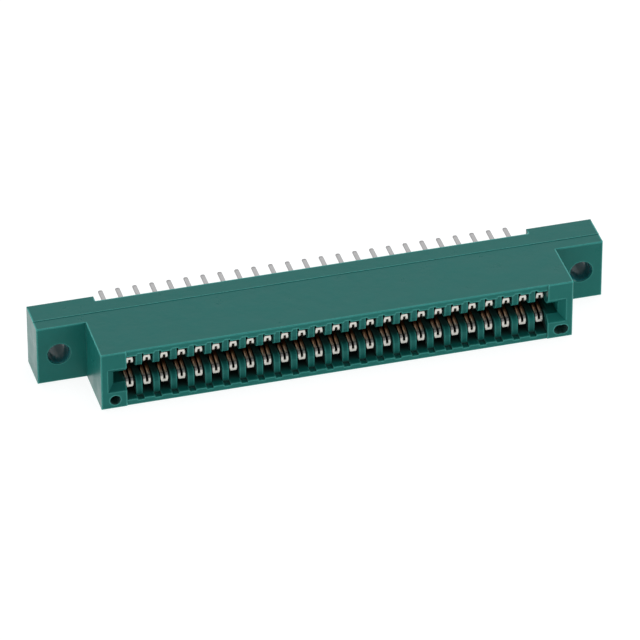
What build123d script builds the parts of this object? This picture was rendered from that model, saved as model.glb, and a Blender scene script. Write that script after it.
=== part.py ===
"""Card edge connector, two rows of bifurcated spring contacts in a one-piece moulded housing.

X runs along the rows, Y runs from the card side to the tails, Z is up. All sizes are in millimetres.
The origin lies between the two mounting holes, at mid height, on the seating face behind the ears.
"""

import os

from build123d import *

os.makedirs("parts", exist_ok=True)

# Contact rows
POSITIONS = 25
PITCH = 2.54
ROW_SPACING = 5.08

# Spring contact, stamped from strip: width, fork and clearances
STRIP = 0.30
SPRING_WIDTH = 1.20
SPRING_CLEARANCE = 0.20
SEAT_CLEARANCE = 0.08
WEB_CLEARANCE = 0.10
FORK_GAP = 0.30
FORK_END = 0.47
FORK_ROOT = 2.40

# Spring contact, side view
TIP_SETBACK = 1.57
TIP_CLEARANCE = 1.13
TIP_CORNER = 0.12
TIP_TAPER = 0.40
NOSE_DROP = 0.51
NOSE_CUT = 0.40
CREST_SETBACK = 4.67
CREST_LENGTH = 1.20
CREST_REACH = 0.45
HEEL_LEAD = 0.97

# Solder tails
TAIL_LENGTH = 4.25
TAIL_WIDTH = 0.60
TAIL_CORNER = 0.18
SHOULDER_INSET = 0.35

# Housing, along the rows
SLOT_OVERRUN = 1.77
END_WALL = 2.00
EAR_REACH = 7.26
HOLE_OFFSET = 4.03
RELIEF_MARGIN = 1.18

# Housing, front to back, and its height
HEIGHT = 9.35
BODY_DEPTH = 14.87
EAR_THICKNESS = 6.10
STANDOFF = 1.23
SKIRT_DEPTH = 4.03
SKIRT_STEP = 0.07
EDGE_RADIUS = 0.15

# Card slot, lips and the ribs between the contacts
SLOT_HEIGHT = 1.90
SLOT_DEPTH = 9.07
LEAD_IN = 1.00
RIB_SETBACK = 1.17
RIB_RADIUS = 0.90
LIP = 0.98
LIP_RELIEF = 0.12
NOTCH_DEPTH = 0.26
BACK_WALL = 1.60

# Mounting holes and the blind marker holes beside the slot
HOLE_DIAMETER = 3.25
HOLE_CHAMFER = 0.12
MARKER_DIAMETER = 1.55
MARKER_DEPTH = 2.50
MARKER_INSET = 2.02
MARKER_RISE = 1.37
MARKER_SPREAD = 0.60

# Places along the rows that follow from the sizes
SPAN = (POSITIONS - 1) * PITCH
CAVITY_WIDTH = SPRING_WIDTH + 2 * SPRING_CLEARANCE
RIB_WIDTH = PITCH - CAVITY_WIDTH
RECESS_HALF = SPAN / 2 + CAVITY_WIDTH / 2
SLOT_HALF = RECESS_HALF + SLOT_OVERRUN
BODY_HALF = SLOT_HALF + END_WALL
EAR_HALF = BODY_HALF + EAR_REACH
HOLE_X = BODY_HALF + HOLE_OFFSET

# Places from front to back
FRONT = -BODY_DEPTH
LIP_FRONT = FRONT + LIP_RELIEF
RIB_FRONT = FRONT + RIB_SETBACK
SLOT_STOP = FRONT + SLOT_DEPTH
MIDDLE_BACK = -STANDOFF
WALL_FRONT = MIDDLE_BACK - BACK_WALL
SHOULDER = MIDDLE_BACK - SHOULDER_INSET

# Heights above the middle plane, for the upper row
SLOT_EDGE = SLOT_HEIGHT / 2
LIP_HEIGHT = HEIGHT / 2 - LIP
ROW = ROW_SPACING / 2

# Corners of the upper spring's centre line, from the wall to the tip
HEEL_Y = WALL_FRONT - HEEL_LEAD
CREST_Z = SLOT_EDGE - CREST_REACH + STRIP / 2
CREST_BACK_Y = FRONT + CREST_SETBACK + CREST_LENGTH / 2
CREST_FRONT_Y = FRONT + CREST_SETBACK - CREST_LENGTH / 2
NOSE_Y = FRONT + TIP_SETBACK + STRIP / 2
NOSE_Z = SLOT_EDGE + NOSE_DROP
TIP_Z = LIP_HEIGHT - TIP_CLEARANCE


def block(x_low, x_high, y_low, y_high, z_low, z_high):
    """A plain block between two corners."""
    size = (x_high - x_low, y_high - y_low, z_high - z_low)
    middle = ((x_low + x_high) / 2, (y_low + y_high) / 2, (z_low + z_high) / 2)
    return Pos(*middle) * Box(*size)


def facing_back(x_place, y_place, z_place):
    """A plane across the depth, looking from the card side to the tails."""
    return Plane(origin=(x_place, y_place, z_place), x_dir=(1, 0, 0), z_dir=(0, 1, 0))


def contact_places():
    """The place of each contact along the row."""
    return [index * PITCH - SPAN / 2 for index in range(POSITIONS)]


def rib_places():
    """The middle of each rib, half way between two contacts."""
    return [place + PITCH / 2 for place in contact_places()[:-1]]


def card_side_block(x_low, x_high, y_front, rounded_ends):
    """A length of the slot block, its edges rounded on the card side."""
    length = block(x_low, x_high, y_front, MIDDLE_BACK, -HEIGHT / 2, HEIGHT / 2)
    face_edges = length.edges().group_by(Axis.Y)[0]
    along = face_edges.filter_by(Axis.X)
    upright = face_edges.filter_by(Axis.Z).filter_by(lambda edge: round(edge.center().X, 3) in rounded_ends)
    return fillet(along + upright, EDGE_RADIUS)


def ear_bar():
    """The bar behind the slot block that carries both ears."""
    bar = block(-EAR_HALF, EAR_HALF, -EAR_THICKNESS, MIDDLE_BACK, -HEIGHT / 2, HEIGHT / 2)
    return fillet(bar.edges().group_by(Axis.Y)[0], EDGE_RADIUS)


def skirt():
    """The part behind the parting line, slightly proud above and below, standing on the board at its ends."""
    half = HEIGHT / 2 + SKIRT_STEP
    whole = block(-EAR_HALF, EAR_HALF, -SKIRT_DEPTH, 0, -half, half)
    relief_half = RECESS_HALF + RELIEF_MARGIN
    return whole - block(-relief_half, relief_half, MIDDLE_BACK, STANDOFF, -HEIGHT, HEIGHT)


def moulded_block():
    """Slot block with its lips set back between the end walls, ears and skirt."""
    outer = round(BODY_HALF, 3)
    lips = card_side_block(-RECESS_HALF, RECESS_HALF, LIP_FRONT, ())
    left_end = card_side_block(-BODY_HALF, -RECESS_HALF, FRONT, (-outer,))
    right_end = card_side_block(RECESS_HALF, BODY_HALF, FRONT, (outer,))
    return lips + left_end + right_end + ear_bar() + skirt()


def card_slot():
    """Slot for the card's edge, with the bevelled mouth around it."""
    slot = block(-SLOT_HALF, SLOT_HALF, FRONT, SLOT_STOP, -SLOT_EDGE, SLOT_EDGE)
    mouth = facing_back(0, FRONT, 0) * Rectangle(2 * (SLOT_HALF + LEAD_IN), 2 * (SLOT_EDGE + LEAD_IN))
    throat = facing_back(0, FRONT + LEAD_IN, 0) * Rectangle(2 * SLOT_HALF, 2 * SLOT_EDGE)
    return slot + loft([mouth, throat])


def rib_mouth():
    """Space in front of the ribs and over their rounded lead-in edges."""
    recess = block(-RECESS_HALF, RECESS_HALF, FRONT, RIB_FRONT, -LIP_HEIGHT, LIP_HEIGHT)
    rise = SLOT_EDGE + RIB_RADIUS
    back = RIB_FRONT + RIB_RADIUS
    with BuildSketch(Plane.YZ) as throat:
        with BuildLine():
            upper = RadiusArc((RIB_FRONT, rise), (back, SLOT_EDGE), -RIB_RADIUS)
            lower = RadiusArc((RIB_FRONT, -rise), (back, -SLOT_EDGE), RIB_RADIUS)
            Line(upper @ 1, lower @ 1)
            Line(upper @ 0, lower @ 0)
        make_face()
    return recess + extrude(throat.sketch, RECESS_HALF, both=True)


def web_height():
    """Half height of the web between the rows, clear of the springs where the card stops."""
    rise = (ROW - CREST_Z) / (HEEL_Y - CREST_BACK_Y)
    spring = CREST_Z + rise * (SLOT_STOP - CREST_BACK_Y)
    return spring - STRIP / 2 * (1 + rise) - WEB_CLEARANCE


def contact_space():
    """One cavity pair: open to the slot in front, two pockets behind it, and the two seats."""
    half = CAVITY_WIDTH / 2
    seat_half = SPRING_WIDTH / 2
    seat_outer = ROW + STRIP / 2
    seat_inner = ROW - STRIP / 2 - SEAT_CLEARANCE
    front = block(-half, half, RIB_FRONT, SLOT_STOP, -LIP_HEIGHT, LIP_HEIGHT)
    pocket = block(-half, half, SLOT_STOP, WALL_FRONT, web_height(), LIP_HEIGHT)
    seat = block(-seat_half, seat_half, WALL_FRONT, MIDDLE_BACK, seat_inner, seat_outer)
    rear = pocket + seat
    return front + rear + mirror(rear, Plane.XY)


def lip_notches():
    """Shallow relief in both lips in front of one rib."""
    half = RIB_WIDTH / 2
    notch = block(-half, half, FRONT, RIB_FRONT, LIP_HEIGHT, LIP_HEIGHT + NOTCH_DEPTH)
    return notch + mirror(notch, Plane.XY)


def mounting_hole(x_place):
    """Hole through one ear with a broken edge at both ends."""
    radius = HOLE_DIAMETER / 2
    wide = radius + HOLE_CHAMFER
    from_front = (Align.CENTER, Align.CENTER, Align.MIN)
    to_back = (Align.CENTER, Align.CENTER, Align.MAX)
    front_plane = facing_back(x_place, -EAR_THICKNESS, 0)
    back_plane = facing_back(x_place, 0, 0)
    bore = front_plane * Cylinder(radius, EAR_THICKNESS, align=from_front)
    front_break = front_plane * Cone(wide, radius, HOLE_CHAMFER, align=from_front)
    back_break = back_plane * Cone(radius, wide, HOLE_CHAMFER, align=to_back)
    return bore + front_break + back_break


def marker_hole(x_place):
    """Blind hole in the card side of one end wall."""
    face = facing_back(x_place, FRONT, MARKER_RISE - HEIGHT / 2)
    return face * Cylinder(MARKER_DIAMETER / 2, MARKER_DEPTH, align=(Align.CENTER, Align.CENTER, Align.MIN))


def make_housing():
    """The one-piece moulded insulator."""
    spaces = [Pos(place, 0, 0) * contact_space() for place in contact_places()]
    notches = [Pos(place, 0, 0) * lip_notches() for place in rib_places()]
    marker_x = BODY_HALF - MARKER_INSET
    markers = [marker_hole(-marker_x), marker_hole(marker_x), marker_hole(marker_x + MARKER_SPREAD)]
    holes = [mounting_hole(-HOLE_X), mounting_hole(HOLE_X)]
    housing = moulded_block() - card_slot() - rib_mouth()
    return housing - spaces - notches - markers - holes


def contact_profile():
    """Side view of the strip of the upper row: tail, heel, beam, crest, nose and tip."""
    nose = Vector(0, NOSE_Y, NOSE_Z)
    crest = Vector(0, CREST_FRONT_Y, CREST_Z)
    nose_back = nose + (crest - nose).normalized() * NOSE_CUT
    corners = [(TAIL_LENGTH, ROW), (HEEL_Y, ROW), (CREST_BACK_Y, CREST_Z), (CREST_FRONT_Y, CREST_Z),
               (nose_back.Y, nose_back.Z), (NOSE_Y, NOSE_Z + NOSE_CUT), (NOSE_Y, TIP_Z)]
    with BuildSketch(Plane.YZ) as side:
        with BuildLine():
            Polyline(*corners)
        trace(line_width=STRIP)
    return side.sketch


def contact_outline():
    """Top view of the strip: the spring as far as its shoulders in the wall, then the tail."""
    spring = Rectangle(SPRING_WIDTH, SHOULDER - FRONT, align=(Align.CENTER, Align.MIN))
    tail = Rectangle(TAIL_WIDTH, TAIL_LENGTH - SHOULDER, align=(Align.CENTER, Align.MIN))
    tail = chamfer(tail.vertices().group_by(Axis.Y)[-1], TAIL_CORNER)
    return Pos(0, FRONT) * spring + Pos(0, SHOULDER) * tail


def tip_corner():
    """The sliver taken off one side of the spring's tip."""
    side = SPRING_WIDTH / 2
    with BuildSketch(Plane.XZ.offset(-NOSE_Y)) as corner:
        with BuildLine():
            Polyline((side - TIP_CORNER, TIP_Z), (side, TIP_Z - TIP_TAPER), (side, TIP_Z), close=True)
        make_face()
    return extrude(corner.sketch, STRIP, both=True)


def make_contact():
    """One contact of the upper row, in the middle of the row."""
    strip = extrude(contact_profile(), SPRING_WIDTH, both=True)
    contact = strip & extrude(contact_outline(), HEIGHT, both=True)
    fork_back = FRONT + CREST_SETBACK + FORK_ROOT
    fork_gap = block(-FORK_GAP / 2, FORK_GAP / 2, FRONT, fork_back, 0, TIP_Z - FORK_END)
    return contact - fork_gap - tip_corner() - mirror(tip_corner(), Plane.YZ)


def main():
    export_step(make_housing(), "parts/housing.step")
    upper = make_contact()
    lower = mirror(upper, Plane.XY)
    for number, place in enumerate(contact_places(), start=1):
        export_step(Pos(place, 0, 0) * upper, f"parts/contact_upper_{number:02d}.step")
        export_step(Pos(place, 0, 0) * lower, f"parts/contact_lower_{number:02d}.step")


main()
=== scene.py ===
# %% [markdown]
# # A card edge connector in Blender
# A circuit board's edge slides into this connector, and two rows of forked springs press on its gold
# pads. The housing is one moulding of teal plastic with an ear at each end, and each spring is stamped
# from thin strip, tinned, and bent. The solid model gives every size and place. Blender adds what the eye
# wants: the sheen of the plastic, the rounded edges and the plating of the metal.

# %% Load the solid model as a fixed frame
import math

import bmesh
import bpy
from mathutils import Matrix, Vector


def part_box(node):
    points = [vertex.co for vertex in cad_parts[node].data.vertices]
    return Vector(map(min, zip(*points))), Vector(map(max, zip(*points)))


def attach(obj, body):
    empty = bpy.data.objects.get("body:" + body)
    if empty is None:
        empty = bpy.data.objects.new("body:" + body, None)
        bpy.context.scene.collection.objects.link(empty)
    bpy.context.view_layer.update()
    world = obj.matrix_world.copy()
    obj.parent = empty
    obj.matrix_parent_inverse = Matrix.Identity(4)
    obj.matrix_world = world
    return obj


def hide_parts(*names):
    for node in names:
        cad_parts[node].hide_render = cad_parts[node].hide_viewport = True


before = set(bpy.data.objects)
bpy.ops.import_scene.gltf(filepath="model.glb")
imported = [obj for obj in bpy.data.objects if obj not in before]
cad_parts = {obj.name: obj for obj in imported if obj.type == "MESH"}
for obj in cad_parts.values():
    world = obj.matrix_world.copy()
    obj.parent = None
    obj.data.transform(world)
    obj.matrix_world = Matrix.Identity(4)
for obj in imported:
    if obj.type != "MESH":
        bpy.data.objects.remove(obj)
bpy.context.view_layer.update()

MM = 0.001
scene = bpy.context.scene
print("nodes in the frame:", len(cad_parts))

# %% [markdown]
# ## Sizes read from the frame
# A scene is easier to keep right when it measures the model instead of repeating numbers. The first two
# springs give the pitch, the box of one spring gives its width and its foremost face, and the corners of
# its mesh that lie near that face give the height of the tip. A change of the solid model then carries
# over.

# %% Measure the springs and the rows
upper_names = sorted(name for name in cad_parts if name.startswith("contact_upper"))
lower_names = sorted(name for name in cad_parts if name.startswith("contact_lower"))
NEAR_FACE = 0.1 * MM
first_low, first_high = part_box(upper_names[0])
second_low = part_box(upper_names[1])[0]
housing_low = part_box("housing")[0]
pitch = second_low.x - first_low.x
spring_width = first_high.x - first_low.x
row_start = (first_low.x + first_high.x) / 2
first_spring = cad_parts[upper_names[0]]
spring_points = [first_spring.matrix_world @ vertex.co for vertex in first_spring.data.vertices]
tip_top = max(point.z for point in spring_points if point.y < first_low.y + NEAR_FACE)
print(f"{len(upper_names)} springs a row, pitch {pitch / MM:.2f} mm, width {spring_width / MM:.2f} mm,",
      f"tip at {tip_top / MM:.3f} mm")

# %% [markdown]
# ## The camera
# The photograph was taken from far away with a long lens, so parallel edges stay nearly parallel. The
# camera turns about a point inside the connector: an azimuth, an elevation and a distance say where it
# stands, and three vectors say how it is held. A lens of over 300 mm gives the same flat perspective.

# %% Set the camera where the photographer stood
AZIMUTH = math.radians(-15.500)
ELEVATION = math.radians(34.268)
ROLL = math.radians(-0.085)
DISTANCE = 855.42 * MM
AIM = Vector((-0.852, -7.700, -0.120)) * MM
LENS = 334.19
SENSOR = 36.0
NEAREST = 0.01

back = Vector((math.sin(AZIMUTH) * math.cos(ELEVATION),
               -math.cos(AZIMUTH) * math.cos(ELEVATION),
               math.sin(ELEVATION)))
level_right = Vector((math.cos(AZIMUTH), math.sin(AZIMUTH), 0.0))
level_up = back.cross(level_right)
right = math.cos(ROLL) * level_right + math.sin(ROLL) * level_up
up = back.cross(right)

camera_data = bpy.data.cameras.new("camera")
camera_data.lens = LENS
camera_data.sensor_width = SENSOR
camera_data.clip_start = NEAREST
camera = bpy.data.objects.new("camera", camera_data)
scene.collection.objects.link(camera)
place = camera.matrix_world.to_4x4()
for row in range(3):
    place[row][0], place[row][1], place[row][2] = right[row], up[row], back[row]
    place[row][3] = AIM[row] + DISTANCE * back[row]
camera.matrix_world = place
scene.camera = camera
print("camera stands at", [round(v, 4) for v in camera.matrix_world.translation])

# %% [markdown]
# ## A small language for nodes
# Finishes and geometry trees are both graphs of nodes. Wiring them by hand takes many lines, so one class
# wraps an output and lets Python's own signs add the Math nodes: `1 - mask` or `grain * 0.2` each make a
# node. A second class adds any other node from its type, its settings and its sockets, and holds the few
# mixes that every finish here uses.

# %% A link that can be added, subtracted and multiplied
class Link:
    """One output of a node."""

    def __init__(self, graph, socket):
        self.graph = graph
        self.socket = socket

    def reckon(self, operation, first, second):
        return self.graph.add("ShaderNodeMath", {"operation": operation}, {0: first, 1: second})[0]

    def __add__(self, other):
        return self.reckon("ADD", self, other)

    def __radd__(self, other):
        return self.reckon("ADD", other, self)

    def __sub__(self, other):
        return self.reckon("SUBTRACT", self, other)

    def __rsub__(self, other):
        return self.reckon("SUBTRACT", other, self)

    def __mul__(self, other):
        return self.reckon("MULTIPLY", self, other)

    def __rmul__(self, other):
        return self.reckon("MULTIPLY", other, self)

    def __abs__(self):
        return self.reckon("ABSOLUTE", self, 0.0)


class Made:
    """A node that has been added. Its outputs are asked for by name or number."""

    def __init__(self, graph, node):
        self.graph = graph
        self.node = node

    def __getitem__(self, key):
        return Link(self.graph, self.node.outputs[key])


# %% A graph that adds nodes
REFLECTED = 0.5


class Graph:
    """A node tree and the one way to add to it."""

    def __init__(self, tree):
        self.tree = tree
        tree.nodes.clear()

    def add(self, kind, settings=None, sockets=None):
        node = self.tree.nodes.new(kind)
        for name, value in (settings or {}).items():
            setattr(node, name, value)
        for key, value in (sockets or {}).items():
            if isinstance(value, Link):
                self.tree.links.new(value.socket, node.inputs[key])
            else:
                node.inputs[key].default_value = value
        return Made(self, node)

    def blend(self, factor, first, second):
        """A colour between two colours."""
        mixed = self.add("ShaderNodeMix", {"data_type": "RGBA"}, {0: factor, 6: first, 7: second})
        return Link(self, mixed.node.outputs[2])

    def between(self, value, low, high):
        """A mask that runs smoothly from 0 at low to 1 at high."""
        return self.add("ShaderNodeMapRange", {"interpolation_type": "SMOOTHSTEP"},
                        {"Value": value, "From Min": low, "From Max": high})["Result"]

    def band(self, value, low, high, soft):
        """A mask that is 1 between two values and fades just inside them."""
        return self.between(value, low, low + soft) * self.between(value, high, high - soft)

    def layers(self, colour, coats):
        """A colour under some coats. Each coat is a mask that says where it covers, and a colour."""
        for mask, coat in coats:
            colour = self.blend(mask, colour, coat)
        return colour

    def in_millimetres(self):
        """The place on the object, in millimetres."""
        place = self.add("ShaderNodeTexCoord")["Object"]
        return self.add("ShaderNodeMapping", sockets={"Vector": place, "Scale": (1 / MM,) * 3})["Vector"]

    def noise(self, place, scale, detail):
        """A soft random pattern."""
        return self.add("ShaderNodeTexNoise",
                        sockets={"Vector": place, "Scale": scale, "Detail": detail})["Fac"]

    def looked_at(self):
        """1 where the camera looks, straight or through glass, and part of it in a reflection."""
        ray = self.add("ShaderNodeLightPath")
        return ray["Is Camera Ray"] + ray["Is Glossy Ray"] * REFLECTED + ray["Is Transmission Ray"]


def new_finish(name):
    """An empty material and its graph."""
    material = bpy.data.materials.new(name)
    material.use_nodes = True
    return material, Graph(material.node_tree)


print("node language ready")

# %% [markdown]
# ## Floor and light
# The object stands on a plain white floor, like the lit table of a product photographer. The lowest point
# of the housing gives the floor's height. The floor is part pale paint, which keeps the object's soft
# shadow, and part glow, which lights the front faces from below. What looks straight at the floor sees
# more of the glow, so that it is white to its far edge. A reflection sees half of that share, since a
# full one made the plastic's sheen paler than it is in the photograph.

# %% Make the floor
WHITE = (1, 1, 1, 1)
FLOOR_HALF = 4.0
FLOOR_PAINT = (0.62, 0.62, 0.62, 1)
FLOOR_GLOW = 0.71
FLOOR_SHARE = 0.6
floor_z = housing_low.z
floor_mesh = bpy.data.meshes.new("floor")
corners = [(-FLOOR_HALF, -FLOOR_HALF, floor_z), (FLOOR_HALF, -FLOOR_HALF, floor_z),
           (FLOOR_HALF, FLOOR_HALF, floor_z), (-FLOOR_HALF, FLOOR_HALF, floor_z)]
floor_mesh.from_pydata(corners, [], [(0, 1, 2, 3)])
floor = bpy.data.objects.new("floor", floor_mesh)
scene.collection.objects.link(floor)

white_floor, g = new_finish("white_floor")
paint = g.add("ShaderNodeBsdfDiffuse", sockets={"Color": FLOOR_PAINT})
glow = g.add("ShaderNodeEmission", sockets={"Color": WHITE, "Strength": FLOOR_GLOW})
table = g.add("ShaderNodeAddShader", sockets={0: paint["BSDF"], 1: glow["Emission"]})
white = g.add("ShaderNodeEmission", sockets={"Color": WHITE, "Strength": 1.0})
share = g.add("ShaderNodeMixShader", sockets={"Fac": g.looked_at() * FLOOR_SHARE, 1: table["Shader"],
                                              2: white["Emission"]})
g.add("ShaderNodeOutputMaterial", sockets={"Surface": share["Shader"]})
floor_mesh.materials.append(white_floor)
print(f"floor at z = {floor_z / MM:.3f} mm")

# %% [markdown]
# One broad, slightly cool panel hangs almost straight above, a little behind. It lights the top and the
# floor, and the floor lights the front faces from below, while the slot behind its lips stays dark. A
# panel on the right makes the right ear a little brighter than the left one, and two weak ones, on the
# left and behind, soften the shade there. The world adds an even fill, and is white where the camera sees
# it.

# %% Set the world and the panels
FILL = 0.22
world = bpy.data.worlds.new("studio")
scene.world = world
world.use_nodes = True
g = Graph(world.node_tree)
fill = g.add("ShaderNodeBackground", sockets={"Color": WHITE, "Strength": FILL})
shown = g.add("ShaderNodeBackground", sockets={"Color": WHITE, "Strength": 1.0})
seen = g.add("ShaderNodeMixShader", sockets={"Fac": g.looked_at(), 1: fill["Background"],
                                             2: shown["Background"]})
g.add("ShaderNodeOutputWorld", sockets={"Surface": seen["Shader"]})


def panel(name, at, size, power, tint=(1, 1, 1)):
    """A square soft light that faces the connector."""
    data = bpy.data.lights.new(name, "AREA")
    data.shape = "SQUARE"
    data.size = size
    data.energy = power
    data.color = tint
    lamp = bpy.data.objects.new(name, data)
    lamp.location = at
    lamp.rotation_euler = (-Vector(at)).to_track_quat("-Z", "Y").to_euler()
    scene.collection.objects.link(lamp)


panel("overhead_panel", (0.05, 0.20, 1.00), 0.8, 6.1, tint=(0.86, 0.96, 1.0))
panel("left_panel", (-1.00, -0.10, 0.30), 0.6, 1.2)
panel("right_panel", (0.90, -0.50, 0.25), 0.5, 2.6)
panel("back_panel", (0.30, 1.10, 0.75), 0.7, 0.5)
scene.view_settings.view_transform = "Standard"

# %% [markdown]
# ## The housing's plastic
# Connector housings are moulded from a plastic filled with short glass fibres. It is even in colour, with
# a faint cloudiness, a fine grain and a soft, slightly uneven gloss. The colours below stand for the
# plastic itself and for painted light: a painted highlight at a thin edge, painted shade in a corner or a
# deep place.

# %% Name the plastic's colours
TEAL = (0.005, 0.139, 0.119, 1)
TEAL_PALE = (0.008, 0.154, 0.133, 1)
# painted highlight for the thin edges
TEAL_PAINTED_HIGHLIGHT = (0.085, 0.440, 0.390, 1)
# painted shade for corners, recesses, the mouth and the mounting holes' rims
TEAL_PAINTED_SHADE = (0.002, 0.075, 0.068, 1)
# painted shade for the deep places in the slot
TEAL_DEEP_PAINTED_SHADE = (0.075, 0.078, 0.076, 1)
# painted highlight for the edges near the slot's ends
SLOT_PAINTED_HIGHLIGHT = (0.080, 0.440, 0.380, 1)
BORE_BLUE = (0.006, 0.170, 0.190, 1)
MARKER_DARK = (0.060, 0.150, 0.140, 1)
RIB_SHADE = (0.016, 0.034, 0.032, 1)
teal_plastic, g = new_finish("teal_plastic")
place = g.in_millimetres()
cloud = g.noise(place, 0.35, 3.0)
grain = g.noise(place, 7.0, 4.0)
print("plastic named", teal_plastic.name)

# %% [markdown]
# A real bevel on all the small edges would make the mesh heavy, so the Bevel node bends the normals, and
# an Ambient Occlusion node that looks inwards finds how near an edge is, which places the painted
# highlight. The same node looking outwards finds the inner corners, such as the foot of the parting step,
# and with a longer reach the deep places in the slot, which place the painted shade.

# %% Find edges, corners and deep places
SAMPLES = 8
EDGE_RADIUS = 0.12 * MM
EDGE_REACH = 0.25 * MM
CORNER_REACH = 0.17 * MM
DEEP_REACH = 3.0 * MM


def closed_in(reach, inside=False):
    """How much of the space around a point is closed in by the housing, within a reach."""
    settings = {"samples": SAMPLES, "inside": inside, "only_local": True}
    return 1.0 - g.add("ShaderNodeAmbientOcclusion", settings, {"Distance": reach})["AO"]


edge = g.add("ShaderNodeBevel", {"samples": SAMPLES}, {"Radius": EDGE_RADIUS})
hollow = closed_in(DEEP_REACH)
thin = g.between(closed_in(EDGE_REACH, inside=True), 0.04, 0.26)
nook = g.between(closed_in(CORNER_REACH), 0.08, 0.40)
print("edges found within", round(EDGE_REACH / MM, 2), "mm")

# %% [markdown]
# Some places differ from the rest, and a mask made from the position in millimetres picks each of them.
# Polished pins form the mounting holes, whose walls are glossier, and a ring of painted shade darkens
# each hole's edge. The marker holes are dark and carry no painted highlight on their edges. The ribs
# stand back from the lips, so they get less light, and least behind their crest; this is painted shade.
# The mouth's sloping walls are duller, and painted shade makes them darker towards the left. The painted
# highlight is weaker on the edges round the springs and on the rear edges, and the ears' foot gets no
# painted corner shade.

# %% Pick the places on the housing
SOFT, FIRM, CRISP = 0.4, 0.2, 0.04
FRONT = housing_low.y / MM
BORE_X = 39.08
BORE_REACH = 1.76
RIM_REACH = 1.63
MOUTH_REACH = 34.1
MOUTH_HALF = 2.0
MOUTH_DARK_FROM, MOUTH_DARK_FULL = 30.0, 20.0
SLOT_REACH = 31.5
BODY_HALF = 35.05
LIP_LINE = 4.2
RIB_SETBACK, RIB_END, RIB_TOP = 0.3, 10.0, 4.0
CREST_START, CREST_END = 1.6, 2.9
REAR_LINE = -0.8
MARKER_BOTTOM, MARKER_TOP, MARKER_DEPTH, MARKER_FADE = -4.45, -2.20, 2.6, 0.03

where = g.add("ShaderNodeSeparateXYZ", sockets={"Vector": place})
x, y, z = where["X"], where["Y"], where["Z"]
off_x, off_z = abs(x), abs(z)
outside = g.between(off_x, SLOT_REACH, SLOT_REACH + SOFT)
within = 1.0 - outside
deep = g.between(hollow, 0.35, 0.80) * within
inner = g.between(hollow, 0.08, 0.25) * outside
root = g.between(abs(off_x - BODY_HALF), SOFT, FIRM) * outside
ends = g.band(off_x, SLOT_REACH, BODY_HALF - SOFT, CRISP) * g.band(z, MARKER_BOTTOM, MARKER_TOP, CRISP)
marker = ends * g.band(y, FRONT, FRONT + MARKER_DEPTH, MARKER_FADE)
recessed = g.band(y, FRONT + RIB_SETBACK, FRONT + RIB_END, SOFT) * within
in_slot = g.between(y, FRONT + RIB_END, FRONT + RIB_END - SOFT) * g.between(off_z, RIB_TOP, RIB_TOP - SOFT)
behind = g.between(y, FRONT + CREST_START, FRONT + CREST_END) * in_slot * within
slot_edge = g.between(off_x, SLOT_REACH + FIRM, SLOT_REACH) * g.between(off_z, LIP_LINE, LIP_LINE - FIRM)
rear_edge = g.between(y, REAR_LINE, REAR_LINE + SOFT)
mouth = g.between(off_x, MOUTH_REACH, MOUTH_REACH - 0.1) * g.between(off_z, MOUTH_HALF, MOUTH_HALF - 0.1)
aside = off_x - BORE_X
squared = aside * aside + z * z
bore = g.between(squared, BORE_REACH ** 2, 0.93 * BORE_REACH ** 2)
rim = g.band(squared, RIM_REACH ** 2, BORE_REACH ** 2, 0.1)
print("places picked from", round(FRONT, 2), "mm at the front to", REAR_LINE, "mm at the rear")

# %% [markdown]
# The colours lie over each other like coats of paint. Each coat has a mask and a number that says how
# strongly it covers. The painted highlight on the edges comes late, so that it shows on every coat below,
# and the painted shade in the corners comes after it.

# %% Lay the colours over each other
# how strongly the painted highlight shows on the edges
painted_highlight_share = (1.0 - slot_edge * 0.5 - rear_edge * 0.8) * (1.0 - inner) * (1.0 - marker)
painted_highlight_share = painted_highlight_share * (1.0 - ends * 0.5) * (1.0 - recessed * 0.35)
colour = g.blend(cloud * 0.6 + grain * 0.4, TEAL, TEAL_PALE)
colour = g.layers(colour, [
    # painted shade: the mouth darker towards the left, then the recessed ribs
    (mouth * g.between(x, MOUTH_DARK_FROM, MOUTH_DARK_FULL) * 0.6, TEAL_PAINTED_SHADE),
    (recessed * g.band(off_z, -0.5, LIP_LINE, FIRM) * 0.25, TEAL_PAINTED_SHADE),
    (bore, BORE_BLUE),
    (marker, MARKER_DARK),
    # painted shade in the deep places
    (deep * 0.9, TEAL_DEEP_PAINTED_SHADE),
    # painted highlight on the edges
    (thin * (0.9 - deep * 0.3) * painted_highlight_share, g.blend(slot_edge, TEAL_PAINTED_HIGHLIGHT, SLOT_PAINTED_HIGHLIGHT)),
    # painted shade in the inner corners
    (nook * (1.0 - root) * 0.8, TEAL_PAINTED_SHADE),
    (behind * 0.78, RIB_SHADE),
    # painted shade round the mounting holes' rims
    (rim * 0.9, TEAL_PAINTED_SHADE),
])
print("colours laid")

# %% [markdown]
# The gloss follows the cloudiness and the grain. Two Bump nodes, one after the other, add a broad wave
# and a fine grain to the rounded normals. The tint of the reflection lowers it where one looks straight
# at a face, and leaves the strong sheen at a flat angle, which makes the ends of the real part look
# almost grey.

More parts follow.
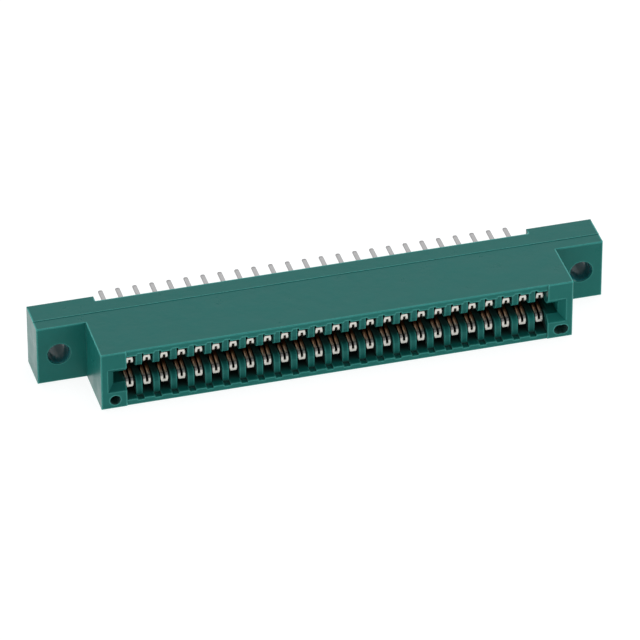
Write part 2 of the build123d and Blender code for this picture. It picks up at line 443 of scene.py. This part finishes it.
# %% Shape the gloss and dress the housing
SHEEN = (0.16, 0.17, 0.17, 1)
wave = g.add("ShaderNodeBump", sockets={"Height": cloud, "Strength": 0.3, "Distance": 0.25 * MM,
                                        "Normal": edge["Normal"]})
bump = g.add("ShaderNodeBump", sockets={"Height": grain, "Strength": 0.12, "Distance": 0.02 * MM,
                                        "Normal": wave["Normal"]})
plastic = g.add("ShaderNodeBsdfPrincipled", sockets={
    "Base Color": colour,
    "Roughness": 0.15 + grain * 0.10 + cloud * 0.26 - bore * 0.16 + mouth * 0.35,
    "IOR": 1.62, "Specular Tint": SHEEN,
    "Coat Weight": bore * 0.15 + thin * deep * 0.5, "Coat Roughness": 0.15,
    "Normal": bump["Normal"]})
g.add("ShaderNodeOutputMaterial", sockets={"Surface": plastic["BSDF"]})
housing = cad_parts["housing"]
for holder in housing.material_slots:
    holder.material = teal_plastic
print("housing wears", [holder.material.name for holder in housing.material_slots])

# %% [markdown]
# ## The spring's flat blank
# A spring starts as a flat shape punched from strip: a solid tip, two tines with a gap between them, a
# broad base and a narrow tail. It could be modelled straight in its bent form, but then every bend would
# have to be drawn. Here it is made flat, as the press does, with y as the distance along the strip from
# the tip. First come the corners of its side view, from the tip to the end of the tail, each with the
# radius of its bend.

# %% The spine of the upper spring
STRIP = 0.30 * MM
NOSE_Y = first_low.y + STRIP / 2
NOSE_FOOT = 1.46 * MM
TAIL_END = first_high.y
CREST = first_low.z + STRIP / 2
CREST_FRONT_Y = -10.80 * MM
CREST_BACK_Y = -9.60 * MM
HEEL_Y = -3.80 * MM
ROW_HEIGHT = 2.54 * MM
TIGHT_BEND = 0.75 * MM
WIDE_BEND = 1.5 * MM
spine = [
    ((NOSE_Y, tip_top), 0.0),
    ((NOSE_Y, NOSE_FOOT), TIGHT_BEND),
    ((CREST_FRONT_Y, CREST), WIDE_BEND),
    ((CREST_BACK_Y, CREST), WIDE_BEND),
    ((HEEL_Y, ROW_HEIGHT), WIDE_BEND),
    ((TAIL_END, ROW_HEIGHT), 0.0),
]
CREST_BACK, HEEL = 3, 4


def rounded_length(corners, upto):
    """Length along the rounded spine from the tip to just after the corner with that number."""
    length = 0.0
    for number in range(1, upto + 1):
        start, here = Vector(corners[number - 1][0]), Vector(corners[number][0])
        length += (here - start).length
        if number < len(corners) - 1:
            after = Vector(corners[number + 1][0])
            turn = (here - start).angle(after - here)
            radius = corners[number][1]
            length += radius * turn - 2 * radius * math.tan(turn / 2)
    return length


strip_length = rounded_length(spine, len(spine) - 1)
print(f"the strip is {strip_length / MM:.2f} mm long from tip to tail")

# %% Punch the flat blank
FORK_START = 0.47 * MM
FORK_ROOT_Y = -7.80 * MM
SHOULDER_Y = -1.58 * MM
GAP_HALF = 0.15 * MM
TAIL_HALF = 0.35 * MM
TAIL_CORNER = 0.18 * MM
TIP_CORNER = 0.12 * MM
PUNCHED_EDGE = 0.11 * MM
EDGE_STEPS = 3
EDGE_ANGLE = math.radians(40)
STEP = 0.20 * MM
half_width = spring_width / 2
heel = Vector(spine[HEEL][0])
crest_back = Vector(spine[CREST_BACK][0])
rise = (heel - crest_back).normalized()
fork_end = rounded_length(spine, CREST_BACK) + (FORK_ROOT_Y - crest_back.x) / rise.x
shoulder = strip_length - (TAIL_END - SHOULDER_Y)

stations = [0.0, FORK_START, fork_end, shoulder, strip_length - TAIL_CORNER, strip_length]
cuts = []
for start, end in zip(stations, stations[1:]):
    parts = max(1, round((end - start) / STEP))
    cuts += [start + (end - start) * part / parts for part in range(parts)]
cuts.append(strip_length)
columns = [-half_width, -TAIL_HALF, -GAP_HALF, GAP_HALF, TAIL_HALF, half_width]


def across(along, x):
    """Tapers the sides of the tip and narrows the end of the tail."""
    if along < FORK_START and abs(x) == half_width:
        return math.copysign(half_width - TIP_CORNER * (1 - along / FORK_START), x)
    if along == strip_length:
        return x * abs(x) * (TAIL_HALF - TAIL_CORNER) / TAIL_HALF ** 2
    return x


def is_metal(along, left):
    """True where the strip is left standing, in the cell that starts at this cut and column."""
    if along >= shoulder:
        return -TAIL_HALF <= left < TAIL_HALF
    return not (FORK_START <= along < fork_end and left == -GAP_HALF)


flat = bmesh.new()
grid = {}
for along in cuts:
    for x in columns:
        grid[along, x] = flat.verts.new((across(along, x), along, -STRIP / 2))
for along, beyond in zip(cuts, cuts[1:]):
    for left, right_side in zip(columns, columns[1:]):
        if is_metal(along, left):
            flat.faces.new((grid[along, left], grid[along, right_side], grid[beyond, right_side],
                            grid[beyond, left]))
bmesh.ops.delete(flat, geom=[v for v in flat.verts if not v.link_faces], context="VERTS")
sheet = bmesh.ops.extrude_face_region(flat, geom=flat.faces[:])
lifted = [item for item in sheet["geom"] if isinstance(item, bmesh.types.BMVert)]
bmesh.ops.translate(flat, verts=lifted, vec=(0, 0, STRIP))
bmesh.ops.recalc_face_normals(flat, faces=flat.faces[:])
blank_mesh = bpy.data.meshes.new("blank")
flat.to_mesh(blank_mesh)
flat.free()
print(f"blank: {len(blank_mesh.polygons)} faces, fork from {FORK_START / MM:.2f} to {fork_end / MM:.2f} mm")

# %% [markdown]
# Punching leaves a slightly rolled edge. A Bevel modifier rounds the flat blank, where every corner is a
# right angle and the modifier has an easy job, and its result becomes a plain mesh.

# %% Round the punched edges
def plain_copy(thing, name):
    """The object's evaluated shape as a new mesh with no modifiers."""
    bpy.context.view_layer.update()
    seen_by_all = thing.evaluated_get(bpy.context.evaluated_depsgraph_get())
    mesh = bpy.data.meshes.new_from_object(seen_by_all)
    mesh.name = name
    return mesh


blank = bpy.data.objects.new("blank", blank_mesh)
scene.collection.objects.link(blank)
rounding = blank.modifiers.new("punched edge", "BEVEL")
rounding.width = PUNCHED_EDGE
rounding.segments = EDGE_STEPS
rounding.limit_method = "ANGLE"
rounding.angle_limit = EDGE_ANGLE
rounded_blank = plain_copy(blank, "rounded_blank")
bpy.data.objects.remove(blank)
print("rounded blank:", len(rounded_blank.polygons), "faces")

# %% [markdown]
# ## The metal
# The strip is a bronze that stays springy, and it is plated with tin. The tin stays bright on the flat of
# the tip. From the tines on, the tin is painted brighter, partly a painted highlight, and a dark band in
# the bend above the tip is a painted reflection. The tin is worn to the bronze where the card's pads rub,
# and one side of each tine is painted darker as painted shade. Further in the slot the metal is in shade.
# Behind the housing the tin of the tail is greyer, with darker cut sides and a darker end. Two named
# attributes hold the distance along the strip and across it, so that the finish follows the metal round
# its bends, and a third is each spring's own chance.

# %% Name the metal's colours
TIN = (0.62, 0.60, 0.55, 1)
# tin painted brighter on the tines, partly a painted highlight
TINE_TIN_AND_HIGHLIGHT = (0.95, 0.90, 0.75, 1)
# painted reflection: a dark band in the bend
BEND_PAINTED_REFLECTION = (0.16, 0.16, 0.16, 1)
BRONZE = (0.95, 0.55, 0.28, 1)
# worn bronze in painted shade, on one side of each tine
BRONZE_PAINTED_SHADE = (0.14, 0.05, 0.02, 1)
SHADED = (0.08, 0.03, 0.01, 1)
TAIL_TIN = (0.48, 0.47, 0.47, 1)
CUT_EDGE = (0.46, 0.45, 0.45, 1)
TAIL_END_TIN = (0.26, 0.25, 0.25, 1)
plated_strip, g = new_finish("plated_strip")
print("metal named", plated_strip.name)

# %% Plate and wear the strip
LENGTH = strip_length / MM
TAIL_BEGINS, TAIL_FULL = LENGTH - 7.5, LENGTH - 6.0
END_BEGINS, END_FULL = LENGTH - 0.6, LENGTH - 0.1
GREY_FROM, GREY_TO = 0.95, 1.65
TINES_BEGIN, TINES_FULL = 1.5, 2.0
WORN_FROM, WORN_FULL = 1.7, 3.2
RUBBED_SHADE_FROM, RUBBED_SHADE_FULL = 1.3, 2.2
SHADE_FROM, SHADE_FULL = 2.3, 3.1
LEFT_STRIPE = (-0.80, -0.27)
RIGHT_STRIPE = (-0.05, 0.48)
STRIPE_FADE = 0.12
CUT_FROM, CUT_FULL = 0.16, 0.32

along, own, side = (g.add("ShaderNodeAttribute", {"attribute_name": name})["Fac"]
                    for name in ("along", "own", "across"))
rolled = g.noise(g.in_millimetres(), 5.0, 5.0)
worn = g.between(along + rolled * 0.5 + own * 0.4, WORN_FROM, WORN_FULL)
stripes = g.band(side, *LEFT_STRIPE, STRIPE_FADE) + g.band(side, *RIGHT_STRIPE, STRIPE_FADE)
# one side of each tine: real wear to the bronze, painted darker as painted shade
rubbed_and_shaded = stripes * g.between(along + rolled * 0.3, RUBBED_SHADE_FROM, RUBBED_SHADE_FULL)
tail = g.between(along, TAIL_BEGINS, TAIL_FULL)
tines = g.between(along, 1.2, 1.6) * (1.0 - tail)
colour = g.layers(TIN, [
    # brighter tin, partly a painted highlight
    (g.between(along, TINES_BEGIN, TINES_FULL), TINE_TIN_AND_HIGHLIGHT),
    # painted reflection in the bend above the tip
    (g.band(along + rolled * 0.2, GREY_FROM, GREY_TO, 0.2) * 0.8, BEND_PAINTED_REFLECTION),
    (worn * 0.8, BRONZE),
    # painted shade on one side of each tine
    (rubbed_and_shaded * 0.85, BRONZE_PAINTED_SHADE),
    (g.between(along, SHADE_FROM, SHADE_FULL), SHADED),
    (tail, TAIL_TIN),
    (g.between(abs(side), CUT_FROM, CUT_FULL) * tail * 0.8, CUT_EDGE),
    (g.between(along, END_BEGINS, END_FULL) * 0.8, TAIL_END_TIN),
])
bump = g.add("ShaderNodeBump", sockets={"Height": rolled, "Strength": 0.2, "Distance": 0.005 * MM})
metal = g.add("ShaderNodeBsdfPrincipled", sockets={
    "Base Color": colour, "Metallic": 1.0, "Roughness": 0.28 + rolled * 0.10 + tines * 0.30,
    "Normal": bump["Normal"]})
g.add("ShaderNodeOutputMaterial", sockets={"Surface": metal["BSDF"]})
print("plated strip ready, worn from", WORN_FROM, "mm on")

# %% [markdown]
# ## Bend and repeat with Geometry Nodes
# The press bends each blank over a die and the springs are then set side by side. Geometry Nodes do the
# same: the spine curve gets its bends from Fillet Curve, each point of the blank is carried to its place
# along the spine by Sample Curve, and Instance on Points repeats the bent spring along the row.

# %% The spine as a curve
def spine_curve(name):
    """The side view's corners as a poly curve. Each point's radius holds the radius of its bend."""
    data = bpy.data.curves.new(name, "CURVE")
    data.dimensions = "3D"
    line = data.splines.new("POLY")
    line.points.add(len(spine) - 1)
    for point, ((y, z), bend) in zip(line.points, spine):
        point.co = (0, y, z, 1)
        point.radius = bend
    thing = bpy.data.objects.new(name, data)
    scene.collection.objects.link(thing)
    return thing


spine_object = spine_curve("spine")
print("spine corners:", len(spine))

# %% The tree that bends and repeats
BEND_STEPS = 12
SHARP_ANGLE = math.radians(20)
tree = bpy.data.node_groups.new("bend_and_repeat", "GeometryNodeTree")
tree.interface.new_socket("Geometry", in_out="INPUT", socket_type="NodeSocketGeometry")
for name, kind in (("Spine", "NodeSocketObject"), ("Count", "NodeSocketInt"), ("Pitch", "NodeSocketFloat"),
                   ("Start", "NodeSocketFloat"), ("Turn", "NodeSocketFloat"), ("Seed", "NodeSocketInt"),
                   ("Finish", "NodeSocketMaterial")):
    tree.interface.new_socket(name, in_out="INPUT", socket_type=kind)
tree.interface.new_socket("Geometry", in_out="OUTPUT", socket_type="NodeSocketGeometry")

g = Graph(tree)
given = g.add("NodeGroupInput")
bends = g.add("GeometryNodeInputRadius")["Radius"]
corners = g.add("GeometryNodeObjectInfo", sockets={"Object": given["Spine"]})["Geometry"]
path = g.add("GeometryNodeFilletCurve", {"mode": "POLY"},
             {"Curve": corners, "Count": BEND_STEPS, "Radius": bends, "Limit Radius": True})["Curve"]
place = g.add("GeometryNodeInputPosition")["Position"]
parts = g.add("ShaderNodeSeparateXYZ", sockets={"Vector": place})
on_path = g.add("GeometryNodeSampleCurve", {"mode": "LENGTH"}, {"Curves": path, "Length": parts["Y"]})
sideways = (1.0, 0.0, 0.0)
outward = g.add("ShaderNodeVectorMath", {"operation": "CROSS_PRODUCT"},
                {0: sideways, 1: on_path["Tangent"]})[0]
lift = g.add("ShaderNodeVectorMath", {"operation": "SCALE"}, {0: outward, "Scale": parts["Z"]})[0]
shift = g.add("ShaderNodeCombineXYZ", sockets={"X": parts["X"]})["Vector"]
bent_place = g.add("ShaderNodeVectorMath", {"operation": "ADD"}, {0: on_path["Position"], 1: lift})[0]
bent_place = g.add("ShaderNodeVectorMath", {"operation": "ADD"}, {0: bent_place, 1: shift})[0]
measured = g.add("GeometryNodeStoreNamedAttribute", {"data_type": "FLOAT", "domain": "POINT"},
                 {"Geometry": given["Geometry"], "Name": "along", "Value": parts["Y"] * (1 / MM)})["Geometry"]
measured = g.add("GeometryNodeStoreNamedAttribute", {"data_type": "FLOAT", "domain": "POINT"},
                 {"Geometry": measured, "Name": "across", "Value": parts["X"] * (1 / MM)})["Geometry"]
bent = g.add("GeometryNodeSetPosition", sockets={"Geometry": measured, "Position": bent_place})["Geometry"]
angle = g.add("GeometryNodeInputMeshEdgeAngle")["Unsigned Angle"]
sharp = g.add("FunctionNodeCompare", {"operation": "GREATER_THAN"}, {0: angle, 1: SHARP_ANGLE})["Result"]
smooth = g.add("FunctionNodeBooleanMath", {"operation": "NOT"}, {0: sharp})[0]
bent = g.add("GeometryNodeSetShadeSmooth", {"domain": "EDGE"}, {0: bent, "Shade Smooth": smooth})[0]

start = g.add("ShaderNodeCombineXYZ", sockets={"X": given["Start"]})["Vector"]
step = g.add("ShaderNodeCombineXYZ", sockets={"X": given["Pitch"]})["Vector"]
places = g.add("GeometryNodeMeshLine", {"mode": "OFFSET"},
               {"Count": given["Count"], "Start Location": start, "Offset": step})["Mesh"]
turn = g.add("ShaderNodeCombineXYZ", sockets={"Y": given["Turn"]})["Vector"]
turn = g.add("FunctionNodeEulerToRotation", sockets={"Euler": turn})["Rotation"]
springs = g.add("GeometryNodeInstanceOnPoints",
                sockets={"Points": places, "Instance": bent, "Rotation": turn})["Instances"]
chance = g.add("FunctionNodeRandomValue", {"data_type": "FLOAT"}, {"Seed": given["Seed"]})
chance = Link(g, chance.node.outputs[1])
springs = g.add("GeometryNodeStoreNamedAttribute", {"data_type": "FLOAT", "domain": "INSTANCE"},
                {"Geometry": springs, "Name": "own", "Value": chance})["Geometry"]
solid = g.add("GeometryNodeRealizeInstances", sockets={"Geometry": springs})["Geometry"]
finished = g.add("GeometryNodeSetMaterial",
                 sockets={"Geometry": solid, "Material": given["Finish"]})["Geometry"]
g.add("NodeGroupOutput", sockets={"Geometry": finished})
print("tree with", len(tree.nodes), "nodes")

# %% Make both rows
UPPER_SEED, LOWER_SEED = 3, 8


def spring_row(name, nodes, turn_angle, seed):
    """One row of springs, as a plain mesh that stands for the row's solids."""
    holder = bpy.data.objects.new(name + "_maker", rounded_blank)
    scene.collection.objects.link(holder)
    maker = holder.modifiers.new("bend and repeat", "NODES")
    maker.node_group = tree
    values = {"Spine": spine_object, "Count": len(nodes), "Pitch": pitch, "Start": row_start,
              "Turn": turn_angle, "Seed": seed, "Finish": plated_strip}
    for item in tree.interface.items_tree:
        if item.name in values:
            maker[item.identifier] = values[item.name]
    mesh = plain_copy(holder, name)
    bpy.data.objects.remove(holder)
    thing = bpy.data.objects.new(name, mesh)
    scene.collection.objects.link(thing)
    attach(thing, "root")
    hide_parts(*nodes)
    low = [min(v.co[k] for v in mesh.vertices) / MM for k in range(3)]
    high = [max(v.co[k] for v in mesh.vertices) / MM for k in range(3)]
    print(name, len(mesh.polygons), "faces, from", [round(v, 3) for v in low], "to",
          [round(v, 3) for v in high])


spring_row("upper_springs", upper_names, 0.0, UPPER_SEED)
spring_row("lower_springs", lower_names, math.pi, LOWER_SEED)
bpy.data.objects.remove(spine_object)
